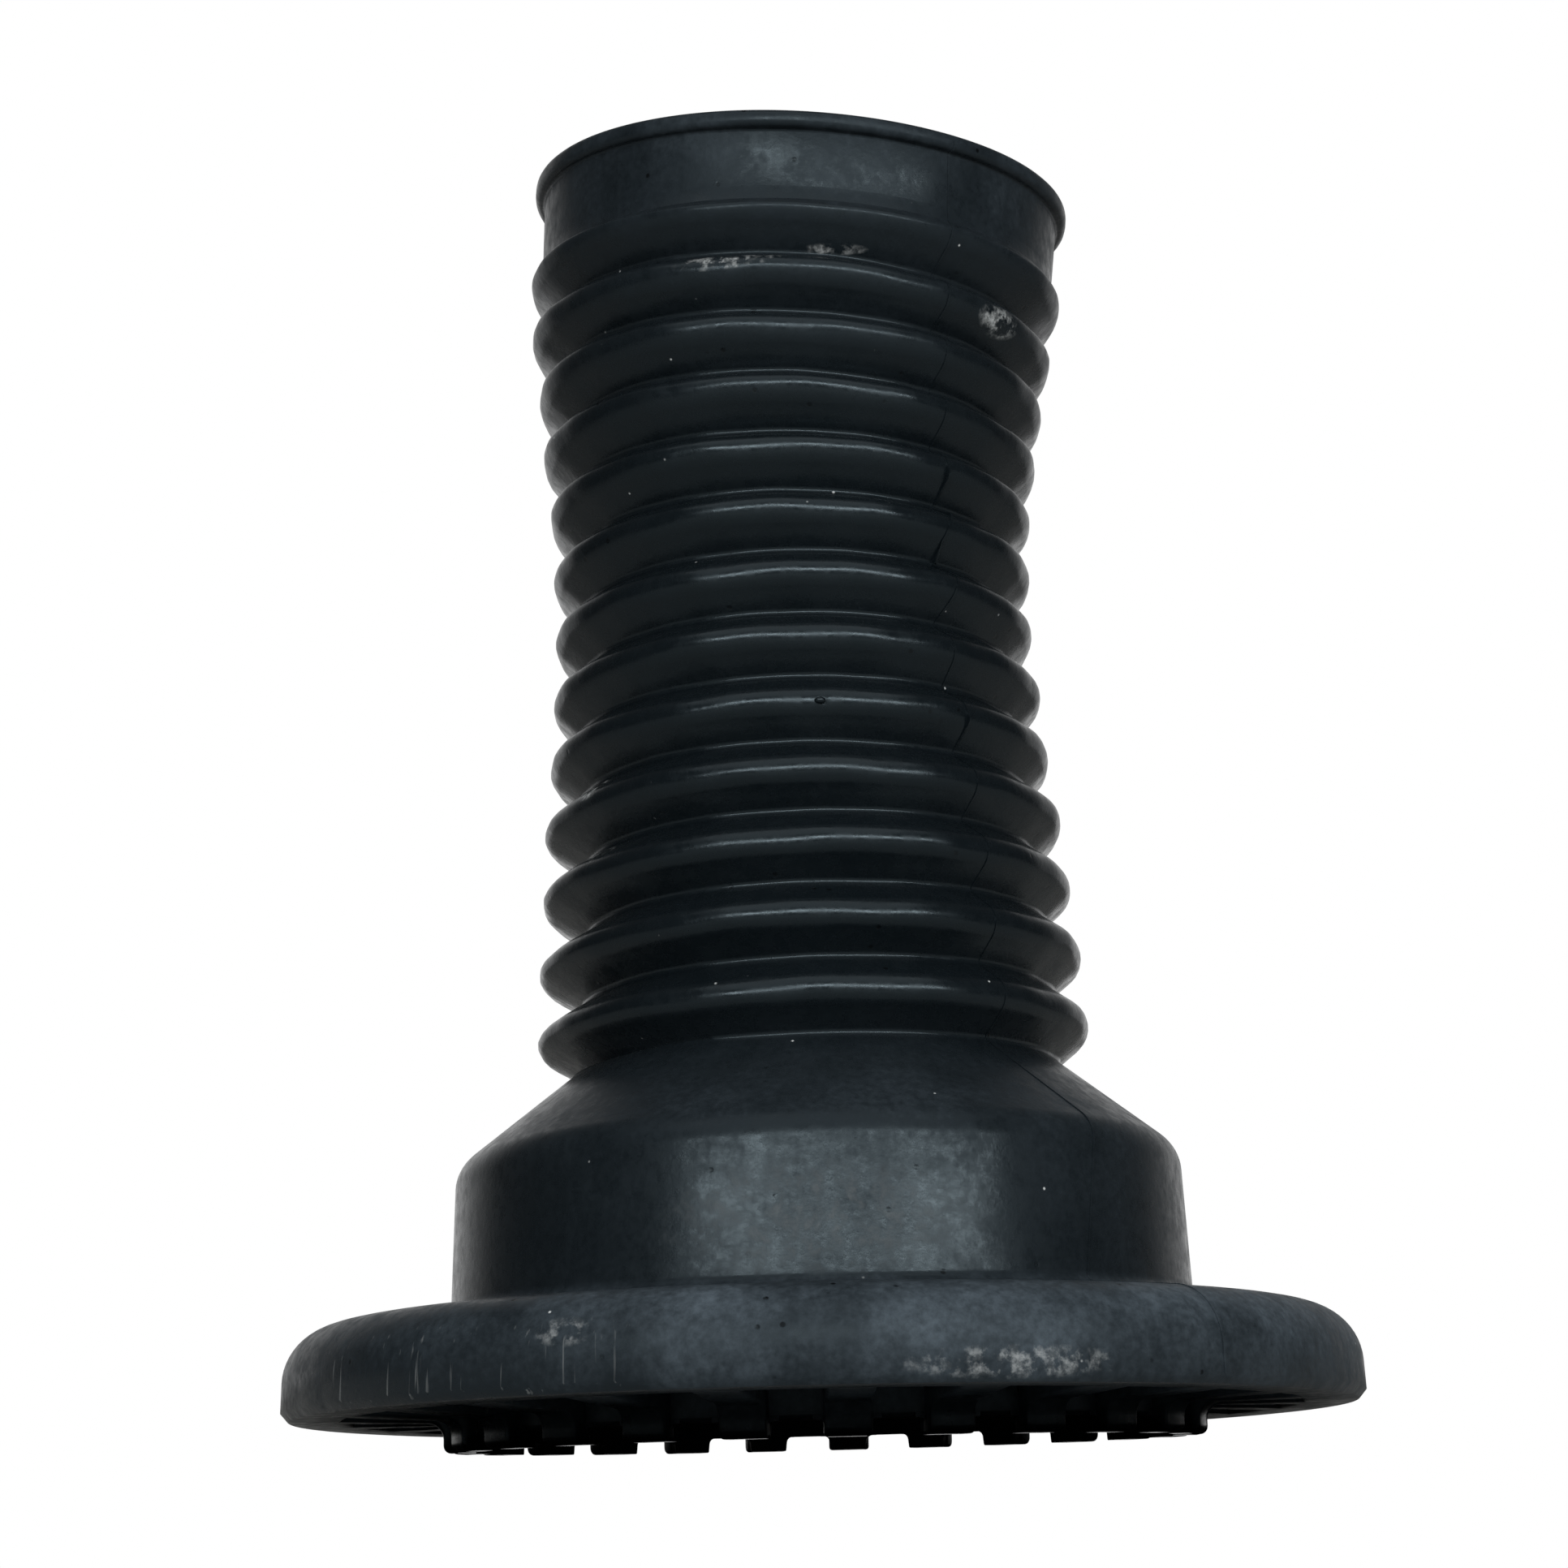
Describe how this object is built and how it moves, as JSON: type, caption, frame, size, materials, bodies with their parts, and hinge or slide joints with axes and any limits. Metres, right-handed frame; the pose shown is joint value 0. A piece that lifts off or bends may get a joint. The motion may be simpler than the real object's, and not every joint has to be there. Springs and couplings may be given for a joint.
{
  "type": "bellows boot",
  "caption": "One-piece black rubber dust boot for a strut: an hourglass bellows with a lipped collar, on a cup and a wide spring-seat flange with ribs and lugs underneath.",
  "frame": {"origin": "on the axis, in the plane of the lug bottoms on which the part stands", "axes": "+Z along the axis from the flange towards the collar; the front of the picture faces -Y, with the nearest rib 2.8 degrees to its right"},
  "size_m": [0.154, 0.154, 0.1915],
  "materials": {
    "black_rubber": "satin"
  },
  "bodies": {
    "root": {"bellows_boot": "black_rubber"}
  },
  "joints": []
}
